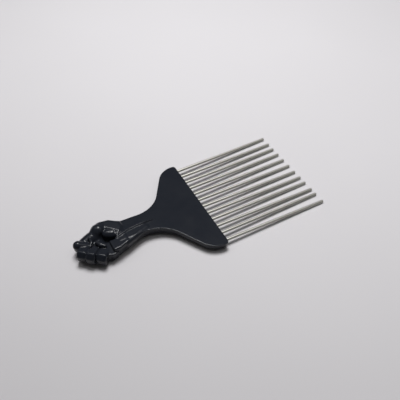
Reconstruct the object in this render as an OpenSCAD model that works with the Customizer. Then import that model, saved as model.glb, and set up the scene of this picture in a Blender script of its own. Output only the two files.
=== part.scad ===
// Afro pick: round wire teeth in a flat moulded head, with a raised fist for a grip.
// The pick is drawn flat. X runs along the teeth, from zero at the straight edge of the head,
// Y runs along that edge and Z is its thickness. It is then laid down as it rests on a table,
// on the fist and the tips of the teeth, with the origin under the middle of the whole pick.

/* [Teeth] */
// Number of wire teeth
tooth_count = 12; // [8:1:12]
// Distance between neighbouring teeth along the head
tooth_pitch = 5.6; // [5:0.1:7]
// Diameter of the wire
tooth_d = 1.9; // [1.6:0.1:2.4]
// Length of wire that stands out of the head
tooth_reach = 70.4; // [50:0.1:90]
// Length of wire held in the head
tooth_seat = 8; // [5:0.5:8]
// Length of the rounded tip
tooth_tip = 0.8; // [0.4:0.1:1]
// Chamfer on the end that sits in the head
tooth_tail_bevel = 0.25; // [0.1:0.05:0.4]
// Largest outward lean of a tooth, in degrees
tooth_lean = 2.1; // [0:0.1:2.4]
// Diametral clearance between a wire and its socket
socket_clearance = 0.02; // [0.01:0.01:0.06]

/* [Head] */
// Thickness of the flat head
head_t = 4; // [3.6:0.1:5]
// Width of plastic outside the axis of each end tooth
head_margin = 3.6; // [3.2:0.1:6]
// Radius of the small corners beside the straight edge
head_corner_r = 1.9; // [1:0.1:2.2]
// Length of the straight side between the small corner and the shoulder
head_side = 0.2; // [0:0.1:4]
// Radius of each outer shoulder
shoulder_r = 13.6; // [8:0.2:16]
// Slope of the shoulder towards the neck, in degrees
shoulder_angle = 57.5; // [50:0.5:66]
// Radius of the hollow curve from shoulder to neck
neck_fillet_r = 20; // [10:0.5:22]
// Rounding of the long edges
edge_r = 0.4; // [0.3:0.1:0.9]
// Inward lean of the side walls below the upper face, in degrees
wall_lean = 8; // [0:0.5:10]
// Bevel around the straight edge
front_bevel = 0.3; // [0.1:0.1:0.4]

/* [Neck] */
// Width of the neck
neck_w = 13.2; // [11:0.1:16]
// Thickness of the neck at its edges
neck_edge_t = 5.6; // [4.4:0.1:6.4]
// Height of the neck's crown over its edges, front and back
neck_crown = 0.2; // [0:0.1:1]
// Distance from the straight edge to where the wrist begins
wrist_start = 44; // [42:0.5:46]
// Width of the wrist where it meets the palm
wrist_w = 13.6; // [13:0.2:17]
// Thickness of the wrist where it meets the palm
wrist_t = 6.8; // [6.4:0.2:9]
// Distance from the straight edge to where the tendons fade out
tendon_start = 32.2; // [28:0.2:36]
// Width of a tendon
tendon_w = 1.2; // [0.8:0.1:1.6]
// Height of a tendon over the wrist
tendon_h = 0.8; // [0.4:0.1:1.2]

/* [Fist] */
// Length of the whole handle
handle_l = 78.8; // [76:0.2:84]
// Length of the fist, from the knuckles to the heel of the palm
fist_l = 30; // [27:0.5:31]
// Width of the fist
fist_w = 25.4; // [23:0.2:28]
// Thickness of the fist
fist_t = 11.6; // [11:0.2:13]

/* [Hidden] */
tooth_names = [for (i = [1:tooth_count]) str("tooth_", i < 10 ? "0" : "", i)];

curve_fn = 48;
finger_fn = 16;
mass_fn = 24;
tip_turn = 15;
arch_turn = 30;
overrun = 1;

// The row of teeth and the head that holds it
head_w = (tooth_count - 1) * tooth_pitch + 2 * head_margin;
socket_d = tooth_d + socket_clearance;
// Each tooth's own outward lean, as a share of the largest one, from the far end of the row
lean_shares = [1, 0.65, 0.7, 0.55, 0.35, 0.1, -0.2, -0.3, -0.15, -0.5, -0.05, -0.55];

// Where the shoulder's arc, slope and hollow fillet begin and end along the handle
shoulder_start = front_bevel + head_corner_r + head_side;
shoulder_end = shoulder_start + shoulder_r * sin(shoulder_angle);
shoulder_drop = shoulder_r * (1 - cos(shoulder_angle));
fillet_rise = neck_fillet_r * (1 - cos(shoulder_angle));
slope_drop = (head_w - neck_w) / 2 - shoulder_drop - fillet_rise;
fillet_start = shoulder_end + slope_drop / tan(shoulder_angle);
fillet_end = fillet_start + neck_fillet_r * sin(shoulder_angle);

// The crown of the neck rises from this share of the hollow curve on
crown_start_share = 0.4;
crown_start = shoulder_end + neck_fillet_r * crown_start_share;
// The wrist ends inside the heel of the palm
wrist_end_share = 0.827;
wrist_end = handle_l - fist_l * wrist_end_share;

// Steps along the outline, and points along the crown and round the edges of a cross-section
corner_steps = 4;
shoulder_steps = 9;
fillet_steps = 9;
neck_steps = 3;
wrist_steps = 9;
crown_steps = 5;
edge_steps = 2;

function ramp(x, from, to) = min(1, max(0, (x - from) / (to - from)));
function ease(t) = t * t * (3 - 2 * t);
function mix(a, b, t) = a + (b - a) * t;

// Stations along the handle, each [distance from the straight edge, half the width there]
corner_stations = [for (i = [1:corner_steps])
    let (turn = 90 * i / corner_steps)
    [front_bevel + head_corner_r * (1 - cos(turn)),
     head_w / 2 - head_corner_r * (1 - sin(turn))]];
shoulder_stations = [for (i = [0:shoulder_steps])
    let (turn = shoulder_angle * i / shoulder_steps)
    [shoulder_start + shoulder_r * sin(turn), head_w / 2 - shoulder_r * (1 - cos(turn))]];
fillet_stations = [for (i = [0:fillet_steps])
    let (turn = shoulder_angle * (1 - i / fillet_steps))
    [fillet_end - neck_fillet_r * sin(turn), neck_w / 2 + neck_fillet_r * (1 - cos(turn))]];
neck_stations = [for (i = [1:neck_steps])
    [mix(fillet_end, wrist_start, i / neck_steps), neck_w / 2]];
wrist_stations = [for (i = [1:wrist_steps])
    let (t = i / wrist_steps)
    [mix(wrist_start, wrist_end, t), mix(neck_w, wrist_w, ease(t)) / 2]];
front_station = [0, head_w / 2 - head_corner_r - front_bevel];
stations = concat([front_station, [front_bevel, head_w / 2 - head_corner_r]],
    corner_stations, shoulder_stations, fillet_stations, neck_stations, wrist_stations);

// Cross-section values at a distance s from the straight edge
function edge_half(s) =
    mix(mix(head_t, neck_edge_t, ease(ramp(s, shoulder_end, wrist_start))),
        wrist_t, ease(ramp(s, wrist_start, wrist_end))) / 2
    - (s == 0 ? front_bevel : 0);
function crown(s) = neck_crown * ease(ramp(s, crown_start, wrist_start));
function lean_in(s) = 2 * edge_half(s) * tan(wall_lean);

// One quarter of a cross-section: half the crown, then the rounded edge, as [y, z]
function quarter(s, half_w) =
    let (h = edge_half(s), flat = half_w - edge_r)
    concat([for (i = [0:crown_steps])
               let (u = i / crown_steps)
               [flat * u, h + crown(s) * (1 - u * u)]],
           [for (i = [1:edge_steps])
               let (turn = 90 * i / edge_steps)
               [flat + edge_r * sin(turn), h - edge_r * (1 - cos(turn))]]);
function reversed(list) = [for (i = [len(list) - 1:-1:0]) list[i]];

// A whole ring: the far top, far bottom, near bottom and near top quarters in turn. The bottom is
// the narrower by the lean of both walls
function ring(station) =
    let (s = station[0], x = -s, top = quarter(s, station[1]),
         low = quarter(s, station[1] - lean_in(s)), n = len(top) - 1,
         top_back = reversed(top), low_back = reversed(low))
    concat([for (p = top) [x, p[0], p[1]]],
           [for (p = low_back) [x, p[0], -p[1]]],
           [for (i = [1:n]) [x, -low[i][0], -low[i][1]]],
           [for (i = [0:n - 1]) [x, -top_back[i][0], top_back[i][1]]]);

// A closed skin over rings that all have the same number of points
module skin(rings) {
    n = len(rings[0]);
    last = len(rings) - 1;
    points = [for (r = rings) each r];
    sides = [for (j = [0:last - 1], i = [0:n - 1])
        let (a = j * n + i, b = j * n + (i + 1) % n, c = a + n, d = b + n)
        each [[a, c, b], [b, c, d]]];
    front_cap = [[for (i = [0:n - 1]) i]];
    back_cap = [[for (i = [n - 1:-1:0]) last * n + i]];
    polyhedron(points, concat(front_cap, sides, back_cap));
}

// Flat head, neck and wrist in one smooth loft
module blade() {
    skin([for (station = stations) ring(station)]);
}

// Places what is drawn along +Z from the origin at tooth i's own place and lean
module at_tooth(i) {
    translate([0, ((tooth_count - 1) / 2 - i) * tooth_pitch, 0])
        rotate([0, 90, tooth_lean * lean_shares[i]])
            children();
}

module socket(i) {
    at_tooth(i)
        translate([0, 0, -tooth_seat])
            cylinder(h = tooth_seat + overrun, d = socket_d, $fn = curve_fn);
}

// One wire: bevelled tail, straight shank and rounded tip, turned about its own axis
module tooth(i) {
    color("silver")
        at_tooth(i)
            rotate_extrude($fn = curve_fn)
                polygon(concat(
                    [[0, -tooth_seat], [tooth_d / 2 - tooth_tail_bevel, -tooth_seat],
                     [tooth_d / 2, tooth_tail_bevel - tooth_seat]],
                    [for (turn = [0:tip_turn:90])
                        [tooth_d / 2 * cos(turn),
                         tooth_reach - tooth_tip * (1 - sin(turn))]]));
}

// A place in the fist, from shares of its length, width and thickness: the first share runs from
// the knuckles to the heel of the palm, the others from the middle of the fist
function in_fist(share) = [share[0] * fist_l, share[1] * fist_w, share[2] * fist_t];

// A bent finger through joints given in shares of the fist, with radii in shares of its thickness
function joint_at(share) = concat(in_fist(share), share[3] * fist_t);
module digit(joint_shares) {
    joints = [for (share = joint_shares) joint_at(share)];
    for (joint = joints)
        translate([joint[0], joint[1], joint[2]])
            sphere(r = joint[3], $fn = finger_fn);
    for (i = [1:len(joints) - 1]) {
        from = joints[i - 1];
        to = joints[i];
        reach = [to[0] - from[0], to[1] - from[1], to[2] - from[2]];
        span = norm(reach);
        translate([from[0], from[1], from[2]])
            rotate([0, acos(reach[2] / span), atan2(reach[1], reach[0])])
                cylinder(h = span, r1 = from[3], r2 = to[3], $fn = finger_fn);
    }
}

// A ridge along joints, each [x, y, z, half width]: round on top, on a wall of a given depth
module ridge(joints, depth) {
    last = len(joints) - 1;
    skin([for (i = [0:last])
        let (joint = joints[i], from = joints[max(i - 1, 0)], to = joints[min(i + 1, last)],
             run = [to[0] - from[0], to[1] - from[1]], across = [run[1], -run[0]] / norm(run),
             arch = [for (turn = [180:-arch_turn:0]) joint[3] * [cos(turn), sin(turn)]])
        [for (p = concat(arch, [[joint[3], -depth], [-joint[3], -depth]]))
            [joint[0] + across[0] * p[0], joint[1] + across[1] * p[0], joint[2] + p[1]]]]);
}

// A ridge through joints given in shares of the fist
module rim(joint_shares) {
    ridge([for (share = joint_shares) joint_at(share)], fist_t * rim_depth_share);
}

// A rounded mass, from its place and its half sizes, both in shares
module mass(place_and_half_shares, turn = 0) {
    translate(in_fist(place_and_half_shares[0]))
        rotate([0, 0, turn])
            scale(in_fist(place_and_half_shares[1]))
                sphere(r = 1, $fn = mass_fn);
}

// A flat pad over a convex plan of [length, width] shares, between a low and a high share of the
// thickness, its edges rounded. Its walls lean in like those of the head
module pad(plan_shares, height_shares) {
    round_r = fist_t * pad_round_share;
    low = height_shares[0] * fist_t;
    high = height_shares[1] * fist_t;
    lean = (high - low) * tan(wall_lean);
    corners = [for (share = plan_shares) [share[0] * fist_l, share[1] * fist_w]];
    centre = [for (axis = [0:1]) mean([for (corner = corners) corner[axis]])];
    hull()
        for (corner = corners) {
            foot = corner + (centre - corner) * lean / norm(centre - corner);
            translate([corner[0], corner[1], high])
                sphere(r = round_r, $fn = finger_fn);
            translate([foot[0], foot[1], low])
                sphere(r = round_r, $fn = finger_fn);
        }
}

// A curled finger: a convex side view, [inward, up] in shares of the fist's width and thickness,
// carried across the finger's own width
module finger(root_share, side_shares, width_share) {
    round_r = fist_t * finger_round_share;
    half = fist_w * width_share / 2 - round_r;
    translate(in_fist([root_share[0], root_share[1], 0]))
        rotate([0, 0, finger_turn])
            hull()
                for (point = side_shares, side = [-1, 1])
                    translate([point[0] * fist_w, side * half, point[1] * fist_t])
                        sphere(r = round_r, $fn = finger_fn);
}

function mean(values) = values * [for (v = values) 1] / len(values);

// The three fingers that show their fronts curl inward in this direction
finger_turn = 50.5;
finger_round_share = 0.129;
pad_round_share = 0.155;
rim_depth_share = 0.3;
middle_root_share = [0.05, -0.248];
middle_side_shares = [[0.134, -0.362], [0.071, -0.224], [0.059, 0.017], [0.106, 0.147],
    [0.256, 0.052], [0.256, -0.362]];
ring_root_share = [0.177, -0.39];
ring_side_shares = [[0.11, -0.362], [0.067, -0.224], [0.059, 0.052], [0.11, 0.19],
    [0.315, 0.034], [0.315, -0.362]];
little_root_share = [0.347, -0.508];
little_side_shares = [[0.11, -0.362], [0.067, -0.224], [0.059, 0.017], [0.11, 0.147],
    [0.335, -0.017], [0.335, -0.362]];
finger_width_share = 0.22;
little_width_share = 0.236;

// The first finger, from its knuckle to its tip, and the back of the hand behind it
index_shares = [[0.1, 0.082, 0.1, 0.233], [0.28, -0.02, -0.078, 0.241]];
back_shares = [[0.12, 0.087, -0.103, 0.259], [0.373, 0.173, -0.086, 0.345],
    [0.61, 0.22, -0.121, 0.379]];
// The thumb's end, and the lip that its root makes over the hollow of the palm
thumb_shares = [[0.527, 0.252, 0.052, 0.362], [0.407, 0.181, 0.069, 0.259]];
lip_shares = [[0.653, 0.114, 0.147, 0.207], [0.717, 0.028, 0.172, 0.181],
    [0.813, -0.02, 0.259, 0.103], [0.873, 0.004, 0.31, 0.06]];
// Low rims around the finger tips
tip_rim_shares = [[0.44, -0.063, 0.224, 0.06], [0.473, -0.157, 0.224, 0.069],
    [0.53, -0.228, 0.224, 0.06]];
index_rim_shares = [[0.33, 0.09, 0.27, 0.052], [0.34, -0.035, 0.293, 0.06],
    [0.28, -0.134, 0.259, 0.052]];
// Masses of the palm, of its low side and of the thumb's knuckle, and the hollow in the palm
palm_shares = [[0.51, -0.039, -0.224], [0.417, 0.417, 0.276]];
palm_side_shares = [[0.613, -0.299, -0.172], [0.167, 0.213, 0.328]];
knuckle_shares = [[0.553, 0.248, 0.069], [0.173, 0.193, 0.431]];
hollow_shares = [[0.633, -0.035, 0.397], [0.173, 0.118, 0.534]];
hollow_turn = -28;
// Plans and heights of the heel of the palm, of the root of the thumb and of the way down from the
// heel to the neck
heel_plan_shares = [[0.673, 0], [0.94, 0], [0.94, -0.327], [0.76, -0.406], [0.673, -0.409]];
thenar_plan_shares = [[0.61, 0.354], [0.777, 0.327], [0.933, 0.205], [0.93, 0.09], [0.88, 0.008],
    [0.697, 0.201]];
descent_plan_shares = [[0.927, 0], [1.293, 0], [1.373, -0.134], [1.193, -0.22], [0.927, -0.333]];
heel_height_shares = [-0.31, 0.129];
thenar_height_shares = [-0.3, 0.25];
descent_height_shares = [-0.1, 0.129];

// Fist with its palm up: four curled fingers, the thumb beside them and the hollow between
module fist() {
    translate([-handle_l, 0, 0])
        resize([fist_l, fist_w, fist_t]) {
            difference() {
                union() {
                    digit(index_shares);
                    digit(back_shares);
                    digit(thumb_shares);
                    finger(middle_root_share, middle_side_shares, finger_width_share);
                    finger(ring_root_share, ring_side_shares, finger_width_share);
                    finger(little_root_share, little_side_shares, little_width_share);
                    mass(palm_shares);
                    mass(palm_side_shares);
                    mass(knuckle_shares);
                    pad(heel_plan_shares, heel_height_shares);
                    pad(thenar_plan_shares, thenar_height_shares);
                }
                mass(hollow_shares, hollow_turn);
            }
            rim(lip_shares);
            rim(tip_rim_shares);
            rim(index_rim_shares);
        }
}

// Tendons from the neck into the palm. Each point: a share of the way from where they start to the
// palm, a share of the neck's width, and shares of a tendon's height and width
palm_start_share = 0.783;
palm_start = handle_l - fist_l * palm_start_share;
middle_tendon_shares = [[0, -0.03, 0.2, 0.5], [0.21, -0.03, 0.75, 0.8], [0.4, -0.06, 1, 0.8],
    [0.6, -0.106, 1.2, 1], [0.745, -0.16, 1.1, 1], [0.89, -0.235, 0.8, 1], [1, -0.318, 0.5, 1.1]];
tendon_root_shares = [[1, -0.31, 0.4, 1], [0.95, -0.174, 0.9, 1], [0.88, 0.008, 1, 1]];
near_tendon_shares = [[0.635, -0.25, 0.4, 0.7], [0.81, -0.34, 0.3, 0.8], [0.97, -0.424, 0.2, 0.8]];

function on_wrist(share) =
    let (s = mix(tendon_start, palm_start, share[0]), r = share[3] * tendon_w / 2)
    [-s, share[1] * neck_w, edge_half(s) + crown(s) + share[2] * tendon_h - r, r];

module tendon(point_shares) {
    ridge([for (share = point_shares) on_wrist(share)], tendon_w);
}

// Where the heel of the palm runs down into the neck, with the tendons beside it
module wrist() {
    translate([-handle_l, 0, 0])
        pad(descent_plan_shares, descent_height_shares);
    tendon(middle_tendon_shares);
    tendon(tendon_root_shares);
    tendon(near_tendon_shares);
}

// One moulding, with a socket for every tooth in its straight edge
module handle() {
    color([0.13, 0.14, 0.16])
        difference() {
            resize([handle_l, head_w, fist_t])
                union() {
                    blade();
                    wrist();
                    fist();
                }
            for (i = [0:tooth_count - 1])
                socket(i);
        }
}

// Laid on a table: the lowest part of the fist and the tips of the teeth touch it
fist_low_share = 0.625;
fist_low = handle_l - fist_l * fist_low_share;
tip_axis = tooth_reach - tooth_tip;
lie_angle = asin((fist_t / 2 - tooth_d / 2) / (tip_axis + fist_low));
lift = tip_axis * sin(lie_angle) + tooth_d / 2;
middle = (tooth_reach - handle_l) / 2;

module lay() {
    translate([-middle * cos(lie_angle), 0, lift])
        rotate([0, lie_angle, 0])
            children();
}

lay() handle();
for (i = [0:tooth_count - 1])
    lay() tooth(i);
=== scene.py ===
"""Afro pick with a raised fist for its handle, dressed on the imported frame."""

import math

import bpy
import numpy as np
from mathutils import Matrix, Vector


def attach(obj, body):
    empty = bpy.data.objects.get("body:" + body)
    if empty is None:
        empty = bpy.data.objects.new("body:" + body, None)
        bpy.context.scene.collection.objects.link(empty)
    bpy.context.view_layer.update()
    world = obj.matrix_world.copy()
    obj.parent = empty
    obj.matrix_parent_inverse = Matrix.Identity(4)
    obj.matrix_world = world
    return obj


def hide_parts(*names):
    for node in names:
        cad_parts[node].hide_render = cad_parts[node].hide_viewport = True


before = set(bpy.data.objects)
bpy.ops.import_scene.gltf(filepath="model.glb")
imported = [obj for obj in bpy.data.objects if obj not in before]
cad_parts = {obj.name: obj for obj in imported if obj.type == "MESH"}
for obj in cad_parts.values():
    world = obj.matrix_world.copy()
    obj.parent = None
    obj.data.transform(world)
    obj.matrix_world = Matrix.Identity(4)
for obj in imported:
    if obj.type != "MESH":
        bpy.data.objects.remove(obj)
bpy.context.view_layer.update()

MM = 0.001
TINY = 1e-6

# The pick is drawn flat, in millimetres: x along the teeth from the straight edge of the head,
# y along that edge, z its thickness.

# Teeth
TOOTH_REACH = 70.4
TOOTH_TIP = 0.8
TOOTH_D = 1.9

# Head, from its straight edge to the shoulders
HEAD_W = 68.8
HEAD_T = 4.0
CORNER_R = 1.9
HEAD_SIDE = 0.5
SHOULDER_R = 13.6
SHOULDER_ANGLE = math.radians(57.5)
FILLET_R = 20.0
EDGE_R = 0.2
LEAN = math.tan(math.radians(8))

# Neck and wrist
NECK_W = 13.2
NECK_EDGE_T = 5.6
NECK_CROWN = 0.2
CROWN_START_SHARE = 0.4
WRIST_START = 44.0
WRIST_RUN = 8.0
WRIST_T = 5.8
BLADE_END = 54.0

# Fist and handle
HANDLE_L = 78.8
FIST_L = 30.0
FIST_T = 11.6
FIST_LOW_SHARE = 0.625

# LIE turns the pick down onto the back of the fist and the tips of the teeth, LIFT raises it onto
# the floor and MIDDLE centres it.
tip_axis = TOOTH_REACH - TOOTH_TIP
fist_low = HANDLE_L - FIST_L * FIST_LOW_SHARE
LIE = math.asin((FIST_T / 2 - TOOTH_D / 2) / (tip_axis + fist_low))
LIFT = tip_axis * math.sin(LIE) + TOOTH_D / 2
MIDDLE = (TOOTH_REACH - HANDLE_L) / 2
LAY = Matrix.Translation((-MIDDLE * math.cos(LIE) * MM, 0, LIFT * MM)) @ Matrix.Rotation(LIE, 4, "Y")


# Fields: signed distances in millimetres, negative inside, for points p with one row each

def ramp(x, start, end):
    """Smooth step from 0 at start to 1 at end."""
    t = np.clip((x - start) / (end - start), 0, 1)
    return t * t * (3 - 2 * t)


def blend_min(a, b, fillet):
    """Union of two fields, with a fillet where they meet."""
    h = np.clip(0.5 + 0.5 * (b - a) / fillet, 0, 1)
    return b * (1 - h) + a * h - fillet * h * (1 - h)


def cone(p, a, ra, b, rb):
    """A bone with round ends, from radius ra at a to rb at b."""
    a, b = np.array(a), np.array(b)
    v = b - a
    t = np.clip(((p - a) @ v) / (v @ v), 0, 1)
    return np.linalg.norm(p - a - t[:, None] * v, axis=1) - (ra + (rb - ra) * t)


def ellipsoid(p, centre, radii):
    """An ellipsoid with its axes along x, y and z. Its distances are close ones, not exact."""
    radii = np.array(radii)
    q = (p - np.array(centre)) / radii
    k0 = np.linalg.norm(q, axis=1)
    return k0 * (k0 - 1) / np.maximum(np.linalg.norm(q / radii, axis=1), TINY)


def convex(u, v, points):
    """A convex outline in a plane, with its corners in clockwise order."""
    away = np.full(len(u), np.inf)
    inside = np.ones(len(u), bool)
    for (ua, va), (ub, vb) in zip(points, points[1:] + points[:1]):
        du, dv = ub - ua, vb - va
        t = np.clip(((u - ua) * du + (v - va) * dv) / (du * du + dv * dv), 0, 1)
        away = np.minimum(away, np.hypot(u - ua - t * du, v - va - t * dv))
        inside &= (u - ua) * dv - (v - va) * du > 0
    return np.where(inside, -away, away)


def rounded(a, b, r):
    """What lies inside both fields, grown by r with round edges."""
    return np.hypot(np.maximum(a, 0), np.maximum(b, 0)) + np.minimum(np.maximum(a, b), 0) - r


# Head and neck: a blade with an outline of lines and arcs in (s, y), where s = -x

shoulder_start = CORNER_R + HEAD_SIDE
shoulder_end = shoulder_start + SHOULDER_R * math.sin(SHOULDER_ANGLE)
shoulder_y = HEAD_W / 2 - SHOULDER_R * (1 - math.cos(SHOULDER_ANGLE))
fillet_y = NECK_W / 2 + FILLET_R * (1 - math.cos(SHOULDER_ANGLE))
fillet_start = shoulder_end + (shoulder_y - fillet_y) / math.tan(SHOULDER_ANGLE)
fillet_end = fillet_start + FILLET_R * math.sin(SHOULDER_ANGLE)


def outline_half(s):
    """Half the width of head and neck at a distance s from the straight edge."""
    corner = HEAD_W / 2 - CORNER_R + np.sqrt(np.maximum(CORNER_R ** 2 - (CORNER_R - s) ** 2, 0))
    u = np.clip(s - shoulder_start, 0, SHOULDER_R * math.sin(SHOULDER_ANGLE))
    shoulder = HEAD_W / 2 - SHOULDER_R + np.sqrt(SHOULDER_R ** 2 - u ** 2)
    slope = shoulder_y - (s - shoulder_end) * math.tan(SHOULDER_ANGLE)
    v = np.clip(fillet_end - s, 0, FILLET_R * math.sin(SHOULDER_ANGLE))
    fillet = NECK_W / 2 + FILLET_R - np.sqrt(FILLET_R ** 2 - v ** 2)
    return np.select([s < CORNER_R, s < shoulder_start, s < shoulder_end, s < fillet_start],
                     [corner, HEAD_W / 2 + 0 * s, shoulder, slope], fillet)


def line_distance(s, y, a, b):
    """Distance to a line between two points."""
    a, b = np.array(a), np.array(b)
    v = b - a
    t = np.clip(((s - a[0]) * v[0] + (y - a[1]) * v[1]) / (v @ v), 0, 1)
    return np.hypot(s - a[0] - t * v[0], y - a[1] - t * v[1])


def arc_distance(s, y, centre, r, start, end):
    """Distance to an arc between two angles, counted from +y towards +s."""
    ds, dy = s - centre[0], y - centre[1]
    turn = np.clip(np.arctan2(ds, dy), start, end)
    return np.hypot(ds - r * np.sin(turn), dy - r * np.cos(turn))


def outline_distance(s, y):
    """Signed distance to the outline of head and neck, negative inside."""
    y = np.abs(y)
    half = HEAD_W / 2
    away = np.minimum.reduce([
        line_distance(s, y, (0, 0), (0, half - CORNER_R)),
        arc_distance(s, y, (CORNER_R, half - CORNER_R), CORNER_R, -math.pi / 2, 0),
        line_distance(s, y, (CORNER_R, half), (shoulder_start, half)),
        arc_distance(s, y, (shoulder_start, half - SHOULDER_R), SHOULDER_R, 0, SHOULDER_ANGLE),
        line_distance(s, y, (shoulder_end, shoulder_y), (fillet_start, fillet_y)),
        # the hollow fillet is seen from its outer side
        arc_distance(-s, -y, (-fillet_end, -(NECK_W / 2 + FILLET_R)), FILLET_R, 0, SHOULDER_ANGLE),
        line_distance(s, y, (fillet_end, NECK_W / 2), (BLADE_END, NECK_W / 2)),
    ])
    inside = (s > 0) & (s < BLADE_END) & (y < outline_half(np.clip(s, 0, BLADE_END)))
    return np.where(inside, -away, away)


def blade(p):
    """Flat head and crowned neck with rounded rims."""
    s, y, z = -p[:, 0], p[:, 1], p[:, 2]
    edge = (HEAD_T + (NECK_EDGE_T - HEAD_T) * ramp(s, shoulder_end, WRIST_START)
            + (WRIST_T - NECK_EDGE_T) * ramp(s, WRIST_START - WRIST_RUN, WRIST_START + WRIST_RUN)) / 2
    u = np.clip(y / (outline_half(np.clip(s, 0, BLADE_END)) - EDGE_R), -1, 1)
    crown_start = shoulder_end + FILLET_R * CROWN_START_SHARE
    crown = NECK_CROWN * ramp(s, crown_start, WRIST_START) * (1 - u * u)
    across = outline_distance(s, y) + EDGE_R + LEAN * np.clip(edge - z, 0, 2 * edge)
    through = np.abs(z) - edge - crown + EDGE_R
    return rounded(across, through, EDGE_R)


# Forms of the fist

def finger(p, outer_end, side_view, half_w):
    """A curled finger: a convex side view in (distance inward, z), as wide as two half_w."""
    along = np.array(INWARD) / np.hypot(*INWARD)
    u = (p[:, 0] - outer_end[0]) * along[0] + (p[:, 1] - outer_end[1]) * along[1]
    w = (p[:, 1] - outer_end[1]) * along[0] - (p[:, 0] - outer_end[0]) * along[1]
    return rounded(convex(u, p[:, 2], side_view), np.abs(w) - half_w + FINGER_R, FINGER_R)


def pad(p, plan, low, high, r, slope):
    """A pad over a convex plan (x, y), between two heights, its top tilted by the slopes.

    The round edge of radius r lies outside the plan and the heights.
    """
    x0, y0 = plan[0]
    top = p[:, 2] - high - (p[:, 0] - x0) * slope[0] - (p[:, 1] - y0) * slope[1]
    side = convex(p[:, 0], p[:, 1], plan) + LEAN * np.clip(high - p[:, 2], 0, high - low)
    return rounded(side, np.maximum(top, low - p[:, 2]), r)


def chain(p, joints):
    """Bones through joints, each (x, y, z, radius)."""
    return np.minimum.reduce([cone(p, a[:3], a[3], b[:3], b[3]) for a, b in zip(joints, joints[1:])])


def ridge(p, depth, joints):
    """A ridge with a round top through joints, each (x, y, z, radius), on a wall of that depth."""
    pieces = []
    for a, b in zip(joints, joints[1:]):
        run = np.array(b[:2]) - np.array(a[:2])
        t = np.clip(((p[:, 0] - a[0]) * run[0] + (p[:, 1] - a[1]) * run[1]) / (run @ run), 0, 1)
        q = p.copy()
        q[:, 2] += np.clip(a[2] + (b[2] - a[2]) * t - p[:, 2], 0, depth)
        pieces.append(cone(q, a[:3], a[3], b[:3], b[3]))
    return np.minimum.reduce(pieces)


def turned_ellipsoid(p, centre, radii, turn):
    """An ellipsoid whose first axis points along turn (x, y)."""
    x, y, z = p[:, 0] - centre[0], p[:, 1] - centre[1], p[:, 2] - centre[2]
    q = np.stack([x * turn[0] + y * turn[1], y * turn[0] - x * turn[1], z], 1)
    return ellipsoid(q, (0, 0, 0), radii)


# Places in the fist, which lies palm up. The thumb is on the far side, +y.

# The middle, ring and little finger curl inward, across the end of the fist
INWARD = (0.635, 0.77)
FINGER_R = 1.5
MIDDLE_FINGER = {
    "outer_end": (-77.24, -6.3),
    "side_view": [(3.4, -4.2), (1.8, -2.6), (1.5, 0.2), (2.7, 1.7), (6.5, 0.6), (6.5, -4.2)],
    "half_w": 2.8,
}
RING_FINGER = {
    "outer_end": (-73.5, -9.9),
    "side_view": [(2.8, -4.2), (1.7, -2.6), (1.5, 0.6), (2.8, 2.2), (8.0, 0.4), (8.0, -4.2)],
    "half_w": 2.8,
}
LITTLE_FINGER = {
    "outer_end": (-68.4, -12.9),
    "side_view": [(2.8, -4.2), (1.7, -2.6), (1.5, 0.2), (2.8, 1.7), (8.5, -0.2), (8.5, -4.2)],
    "half_w": 3.0,
}
INDEX_TIP = [(-75.75, 2.0, 1.0, 2.7), (-70.4, -0.5, -0.9, 2.8)]
INDEX_BACK = [(-75.25, 2.2, -1.2, 2.95), (-67.6, 4.4, -1.0, 4.0), (-60.5, 5.6, -1.4, 4.4)]

# Palm: its body, the heel, the root of the hand over the wrist, and the side of the little finger
PALM = {"centre": (-63.5, -1.0, -2.6), "radii": (12.5, 10.6, 3.2)}
HEEL = {
    "plan": [(-58.9, 0.0), (-50.6, 0.0), (-50.6, -8.6), (-56.0, -10.6), (-58.8, -10.7)],
    "low": -3.9, "high": 2.45, "r": 0.9, "slope": (0.0, -0.04),
}
HAND_ROOT = {
    "plan": [(-51.0, 0.0), (-40.0, 0.0), (-37.6, -3.4), (-43.0, -5.6), (-51.0, -8.45)],
    "low": -1.4, "high": 1.5, "r": 1.8, "slope": (-0.03, -0.04),
}
PALM_SIDE = {
    "plan": [(-64.2, -4.6), (-58.0, -3.0), (-57.4, -11.4), (-60.6, -12.2), (-64.0, -10.8)],
    "low": -4.4, "high": 0.7, "r": 0.6, "slope": (0.0, -0.03),
}

# Thumb: its ball at the wrist, the knuckle, the last bone and the bright pad on the ball
THUMB_BALL = {
    "plan": [(-60.5, 8.4), (-55.7, 7.7), (-51.5, 4.8), (-51.3, 2.4), (-52.6, 0.3), (-57.9, 5.1)],
    "low": -2.7, "high": 2.2, "r": 2.5, "slope": (0.0, 0.015),
}
KNUCKLE = {"centre": (-62.2, 6.2, 0.35), "radii": (4.9, 4.6, 5.4)}
THUMB_TIP = [(-63.0, 6.4, 0.6, 4.2), (-66.6, 4.6, 0.1, 3.0)]
BALL_PAD = {
    "plan": [(-58.8, 2.2), (-55.7, 0.7), (-56.0, -0.4), (-59.0, 1.2)],
    "low": 0.0, "high": 3.8, "r": 0.6, "slope": (0.165, 0.175),
}

# The hollow between thumb, fingers and heel, and the rims that stand round it
HOLLOW = {"centre": (-59.8, -0.9, 4.6), "radii": (5.2, 3.0, 6.2), "turn": (0.88, -0.47)}
RIM_DEPTH = 3.5
RIMS = [
    [(-58.9, 1.9, 1.7, 2.7), (-56.8, 0.5, 1.8, 2.6), (-54.6, -0.8, 2.3, 1.9), (-52.8, -0.9, 3.3, 0.8)],
    [(-65.6, -1.6, 2.0, 1.4), (-64.6, -4.0, 2.1, 1.4), (-62.9, -5.8, 2.4, 0.9)],
    [(-68.9, 2.5, 3.2, 0.6), (-68.6, -0.9, 3.4, 0.7), (-70.4, -3.4, 3.0, 0.6)],
]

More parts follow.
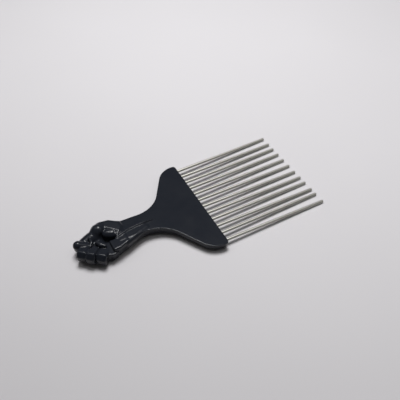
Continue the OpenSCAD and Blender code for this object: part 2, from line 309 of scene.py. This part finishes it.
# Tendons, from the neck into the palm
TENDON_DEPTH = 1.2
MIDDLE_TENDON = [
    (-32.3, -0.5, 2.8, 0.4), (-37.1, -0.6, 3.2, 0.6), (-41.6, -0.9, 3.4, 0.6),
    (-46.1, -1.4, 3.5, 0.6), (-49.4, -2.1, 3.6, 0.6), (-52.8, -3.1, 3.7, 0.6),
    (-55.2, -4.1, 3.3, 0.5), (-54.2, -2.3, 3.6, 0.5), (-52.6, 0.1, 3.8, 0.5),
]
NEAR_TENDON = [(-47.9, -3.3, 2.8, 0.4), (-51.3, -4.2, 2.8, 0.5), (-54.9, -5.2, 2.8, 0.5)]

# Fillets where the forms meet
BALL_PAD_FILLET = 0.3
FINGER_FILLET = 0.35
CREASE_FILLET = 0.5
SIDE_FILLET = 0.6
FLESH_FILLET = 0.8
WRIST_FILLET = 1.5


def fist(p):
    """Palm, thumb and four curled fingers."""
    shape = blend_min(chain(p, INDEX_TIP), chain(p, INDEX_BACK), CREASE_FILLET)
    for curled in (MIDDLE_FINGER, RING_FINGER, LITTLE_FINGER):
        shape = blend_min(shape, finger(p, **curled), FINGER_FILLET)
    shape = blend_min(shape, ellipsoid(p, **PALM), FLESH_FILLET)
    shape = blend_min(shape, pad(p, **HEEL), CREASE_FILLET)
    shape = blend_min(shape, pad(p, **HAND_ROOT), CREASE_FILLET)
    shape = blend_min(shape, pad(p, **PALM_SIDE), SIDE_FILLET)
    shape = blend_min(shape, pad(p, **THUMB_BALL), FLESH_FILLET)
    shape = blend_min(shape, ellipsoid(p, **KNUCKLE), FLESH_FILLET)
    shape = blend_min(shape, chain(p, THUMB_TIP), SIDE_FILLET)
    shape = -blend_min(-shape, turned_ellipsoid(p, **HOLLOW), CREASE_FILLET)
    for rim in RIMS:
        shape = blend_min(shape, ridge(p, RIM_DEPTH, rim), CREASE_FILLET)
    return blend_min(shape, pad(p, **BALL_PAD), BALL_PAD_FILLET)


def tendons(p):
    """The ridges that run from the neck into the palm."""
    return np.minimum(ridge(p, TENDON_DEPTH, MIDDLE_TENDON), ridge(p, TENDON_DEPTH, NEAR_TENDON))


def handle_field(p):
    """The whole moulding: blade, fist and tendons."""
    shape = blend_min(blade(p), fist(p), WRIST_FILLET)
    return blend_min(shape, tendons(p), CREASE_FILLET)


# Meshes from fields

def in_chunks(field, points, size=200000):
    """The field at many points, some at a time to spare memory."""
    return np.concatenate([field(points[i:i + size]) for i in range(0, len(points), size)])


def field_grid(field, low, high, step, coarse=4):
    """The field on a grid. Far from the surface a coarse grid's values do."""
    counts = [int(math.ceil((h - l) / (step * coarse))) + 1 for l, h in zip(low, high)]
    big = step * coarse
    axes = [l + big * np.arange(n) for l, n in zip(low, counts)]
    points = np.stack(np.meshgrid(*axes, indexing="ij"), -1).reshape(-1, 3)
    values = in_chunks(field, points).reshape(counts)
    for axis in range(3):
        values = np.repeat(values, coarse, axis=axis)
    axes = [l - step * (coarse - 1) / 2 + step * np.arange(n * coarse) for l, n in zip(low, counts)]
    near = np.argwhere(np.abs(values) < big * 2)
    points = np.stack([axes[k][near[:, k]] for k in range(3)], 1)
    values[tuple(near.T)] = in_chunks(field, points)
    return values, axes


def surface_net(values, axes):
    """Quads over the zero level: a vertex in each cell that it crosses, a face on each crossed edge."""
    shape = np.array(values.shape) - 1
    inside = values < 0
    corners = [(i, j, k) for i in (0, 1) for j in (0, 1) for k in (0, 1)]

    def at_corner(a, c):
        return a[c[0]:c[0] + shape[0], c[1]:c[1] + shape[1], c[2]:c[2] + shape[2]]

    total = sum(at_corner(inside, c).astype(np.int8) for c in corners)
    cells = np.argwhere((total > 0) & (total < 8))
    place, hits = np.zeros((len(cells), 3)), np.zeros(len(cells))
    for a in corners:
        for axis in range(3):
            if a[axis]:
                continue
            b = tuple(c + (k == axis) for k, c in enumerate(a))
            va, vb = (values[tuple((cells + np.array(c)).T)] for c in (a, b))
            crossed = (va < 0) != (vb < 0)
            share = np.where(crossed, va / np.where(crossed, va - vb, 1), 0)
            point = np.tile(np.array(a, float), (len(cells), 1))
            point[:, axis] += share
            place += point * crossed[:, None]
            hits += crossed
    place = cells + place / hits[:, None]
    vertices = np.stack([np.interp(place[:, k], np.arange(len(axes[k])), axes[k]) for k in range(3)], 1)
    index = -np.ones(shape, np.int64)
    index[tuple(cells.T)] = np.arange(len(cells))
    faces = []
    for axis in range(3):
        u, v = (axis + 1) % 3, (axis + 2) % 3
        first = np.take(inside, range(inside.shape[axis] - 1), axis)
        second = np.take(inside, range(1, inside.shape[axis]), axis)
        edges = np.argwhere(first != second)
        edges = edges[(edges[:, u] > 0) & (edges[:, v] > 0)]
        edges = edges[(edges[:, u] < shape[u]) & (edges[:, v] < shape[v])]
        back_u, back_v = np.eye(3, dtype=int)[u], np.eye(3, dtype=int)[v]
        quad = [index[tuple((edges - o).T)] for o in (0 * back_u, back_u, back_u + back_v, back_v)]
        quad = np.stack(quad, 1)
        flip = ~first[tuple(edges.T)]
        quad[flip] = quad[flip][:, ::-1]
        faces.append(quad)
    return vertices, np.concatenate(faces)


def settle(field, vertices, rounds=3, nudge=0.02, least_slope=0.05, most=0.12):
    """Moves the vertices onto the zero level along the field's own slope."""
    for _ in range(rounds):
        value = in_chunks(field, vertices)
        slope = np.stack([in_chunks(field, vertices + nudge * way) - in_chunks(field, vertices - nudge * way)
                          for way in np.eye(3)], 1) / (2 * nudge)
        size = np.maximum((slope ** 2).sum(1), least_slope)
        vertices = vertices - np.clip(value / size, -most, most)[:, None] * slope
    return vertices


def mesh_object(name, vertices, faces):
    """A smooth object from points in millimetres, laid down as the pick is."""
    mesh = bpy.data.meshes.new(name)
    mesh.from_pydata((vertices * MM).tolist(), [], faces.tolist())
    mesh.transform(LAY)
    mesh.shade_smooth()
    piece = bpy.data.objects.new(name, mesh)
    bpy.context.scene.collection.objects.link(piece)
    return piece


# Materials

PLASTIC_DARK = (0.0130, 0.0152, 0.0212)
PLASTIC_PALE = (0.0164, 0.0185, 0.0240)
STEEL_DARK = (0.43, 0.425, 0.385)
STEEL_PALE = (0.53, 0.525, 0.485)
FLOOR_DARK = (0.614, 0.600, 0.618)
FLOOR_PALE = (0.644, 0.630, 0.648)
TONE_PLACES = (0.3, 0.7)
DRAWN_STRETCH = (0.03, 1, 1)


def node_material(name):
    """A material with its nodes, links, surface shader and the piece's own coordinates."""
    material = bpy.data.materials.new(name)
    material.use_nodes = True
    nodes, links = material.node_tree.nodes, material.node_tree.links
    coords = nodes.new("ShaderNodeTexCoord").outputs["Object"]
    return material, nodes, links, nodes["Principled BSDF"], coords


def noise(nodes, links, coords, scale, detail=3.0, stretch=None):
    """A noise texture, on coordinates stretched if asked."""
    texture = nodes.new("ShaderNodeTexNoise")
    texture.inputs["Scale"].default_value = scale
    texture.inputs["Detail"].default_value = detail
    source = coords
    if stretch:
        mapping = nodes.new("ShaderNodeMapping")
        mapping.inputs["Scale"].default_value = stretch
        links.new(coords, mapping.inputs["Vector"])
        source = mapping.outputs["Vector"]
    links.new(source, texture.inputs["Vector"])
    return texture.outputs["Fac"]


def two_tones(nodes, links, source, dark, pale):
    """Colours from a dark to a pale tone."""
    node = nodes.new("ShaderNodeValToRGB")
    for element, place, colour in zip(node.color_ramp.elements, TONE_PLACES, (dark, pale)):
        element.position = place
        element.color = (*colour, 1)
    links.new(source, node.inputs["Fac"])
    return node.outputs["Color"]


def value_range(nodes, links, source, low, high):
    """A value from 0 to 1, taken to a range."""
    node = nodes.new("ShaderNodeMapRange")
    node.inputs["To Min"].default_value = low
    node.inputs["To Max"].default_value = high
    links.new(source, node.inputs["Value"])
    return node.outputs["Result"]


def bump(nodes, links, height, distance, strength, under=None):
    """A bump, over another one if given."""
    node = nodes.new("ShaderNodeBump")
    node.inputs["Distance"].default_value = distance
    node.inputs["Strength"].default_value = strength
    links.new(height, node.inputs["Height"])
    if under:
        links.new(under, node.inputs["Normal"])
    return node.outputs["Normal"]


def plastic_material():
    """Black moulded plastic: clouded colour, smeared gloss, a flowing surface and a fine skin."""
    material, nodes, links, surface, coords = node_material("handle_plastic")
    cloud = noise(nodes, links, coords, scale=90)
    colour = two_tones(nodes, links, cloud, PLASTIC_DARK, PLASTIC_PALE)
    links.new(colour, surface.inputs["Base Color"])
    smear = noise(nodes, links, coords, scale=160, detail=6)
    links.new(value_range(nodes, links, smear, low=0.12, high=0.22), surface.inputs["Roughness"])
    surface.inputs["IOR"].default_value = 1.45
    surface.inputs["Specular IOR Level"].default_value = 0.24
    skin = noise(nodes, links, coords, scale=2600, detail=2)
    flow = noise(nodes, links, coords, scale=120, detail=2)
    flowing = bump(nodes, links, flow, distance=0.00025, strength=0.35)
    normal = bump(nodes, links, skin, distance=0.00002, strength=0.25, under=flowing)
    links.new(normal, surface.inputs["Normal"])
    return material


def steel_material():
    """Drawn steel wire, with streaks along it."""
    material, nodes, links, surface, coords = node_material("tooth_steel")
    surface.inputs["Metallic"].default_value = 1
    drawn = noise(nodes, links, coords, scale=900, detail=4, stretch=DRAWN_STRETCH)
    colour = two_tones(nodes, links, drawn, STEEL_DARK, STEEL_PALE)
    links.new(colour, surface.inputs["Base Color"])
    cloud = noise(nodes, links, coords, scale=220, detail=4)
    links.new(value_range(nodes, links, cloud, low=0.42, high=0.54), surface.inputs["Roughness"])
    links.new(bump(nodes, links, drawn, distance=0.00002, strength=0.4), surface.inputs["Normal"])
    return material


def floor_material():
    """Pale matt board, barely clouded."""
    material, nodes, links, surface, coords = node_material("pale_floor")
    cloud = noise(nodes, links, coords, scale=3)
    colour = two_tones(nodes, links, cloud, FLOOR_DARK, FLOOR_PALE)
    links.new(colour, surface.inputs["Base Color"])
    surface.inputs["Roughness"].default_value = 0.85
    surface.inputs["Specular IOR Level"].default_value = 0.2
    return material


# The object: the moulding replaces the CAD's handle, and the teeth keep their CAD solids

GRID_LOW = (-80.5, -36.5, -7.5)
GRID_HIGH = (2.0, 36.5, 7.5)
GRID_STEP = 0.25

step = GRID_STEP
grid, grid_axes = field_grid(handle_field, GRID_LOW, GRID_HIGH, step)
vertices, faces = surface_net(grid, grid_axes)
handle = mesh_object("handle_moulding", settle(handle_field, vertices), faces)
handle.data.materials.append(plastic_material())
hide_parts("handle")
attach(handle, "root")

steel = steel_material()
for name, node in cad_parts.items():
    if name.startswith("tooth"):
        node.data.materials.clear()
        node.data.materials.append(steel)
        node.data.shade_smooth()


# Floor, in metres

FLOOR_REACH = 3

floor_corners = [(-FLOOR_REACH, -FLOOR_REACH, 0), (FLOOR_REACH, -FLOOR_REACH, 0),
                 (FLOOR_REACH, FLOOR_REACH, 0), (-FLOOR_REACH, FLOOR_REACH, 0)]
floor_mesh = bpy.data.meshes.new("floor")
floor_mesh.from_pydata(floor_corners, [], [(0, 1, 2, 3)])
floor = bpy.data.objects.new("floor", floor_mesh)
bpy.context.scene.collection.objects.link(floor)
floor.data.materials.append(floor_material())


# Light: a lamp that the plastic mirrors, a wide soft one and a little light from all round

WORLD_COLOUR = (1, 0.98, 0.95, 1)
WORLD_STRENGTH = 0.05


def soft_light(name, place, aim, size, power):
    """A round lamp at a place, facing a point, in metres and watts."""
    lamp = bpy.data.lights.new(name, "AREA")
    lamp.shape = "DISK"
    lamp.size = size
    lamp.energy = power
    holder = bpy.data.objects.new(name, lamp)
    holder.location = place
    holder.rotation_euler = (Vector(aim) - Vector(place)).to_track_quat("-Z", "Y").to_euler()
    bpy.context.scene.collection.objects.link(holder)


soft_light("key", place=(0.087, 0.195, 0.705), aim=(0.16, -0.02, 0), size=0.31, power=4.65)
soft_light("sky", place=(0.15, 0.34, 0.95), aim=(1.2, 1.4, 0), size=1.6, power=5.6)

world = bpy.data.worlds.new("studio")
world.use_nodes = True
background = world.node_tree.nodes["Background"]
background.inputs["Color"].default_value = WORLD_COLOUR
background.inputs["Strength"].default_value = WORLD_STRENGTH
bpy.context.scene.world = world
bpy.context.scene.view_settings.view_transform = "Standard"


# Camera, found from the places of the tooth roots and tips in the photograph. CAMERA_TURN is an axis
# times an angle, and with CAMERA_SHIFT in millimetres it takes the flat pick's frame to the camera's.

CAMERA_TURN = Vector((2.35569, -0.58569, 0.30185))
CAMERA_SHIFT = Vector((-0.12776, 2.22448, 274.17978))
SENSOR_WIDTH = 36
FOCAL_LENGTH = 40.5
CLIP_START = 0.01

seen = Matrix.Rotation(CAMERA_TURN.length, 3, CAMERA_TURN.normalized())
pose = Matrix((seen[0], -seen[1], -seen[2])).transposed().to_4x4()
pose.translation = -(seen.transposed() @ CAMERA_SHIFT) * MM
lens = bpy.data.cameras.new("camera")
lens.sensor_width = SENSOR_WIDTH
lens.lens = FOCAL_LENGTH
lens.clip_start = CLIP_START
camera = bpy.data.objects.new("camera", lens)
camera.matrix_world = LAY @ pose
bpy.context.scene.collection.objects.link(camera)
bpy.context.scene.camera = camera
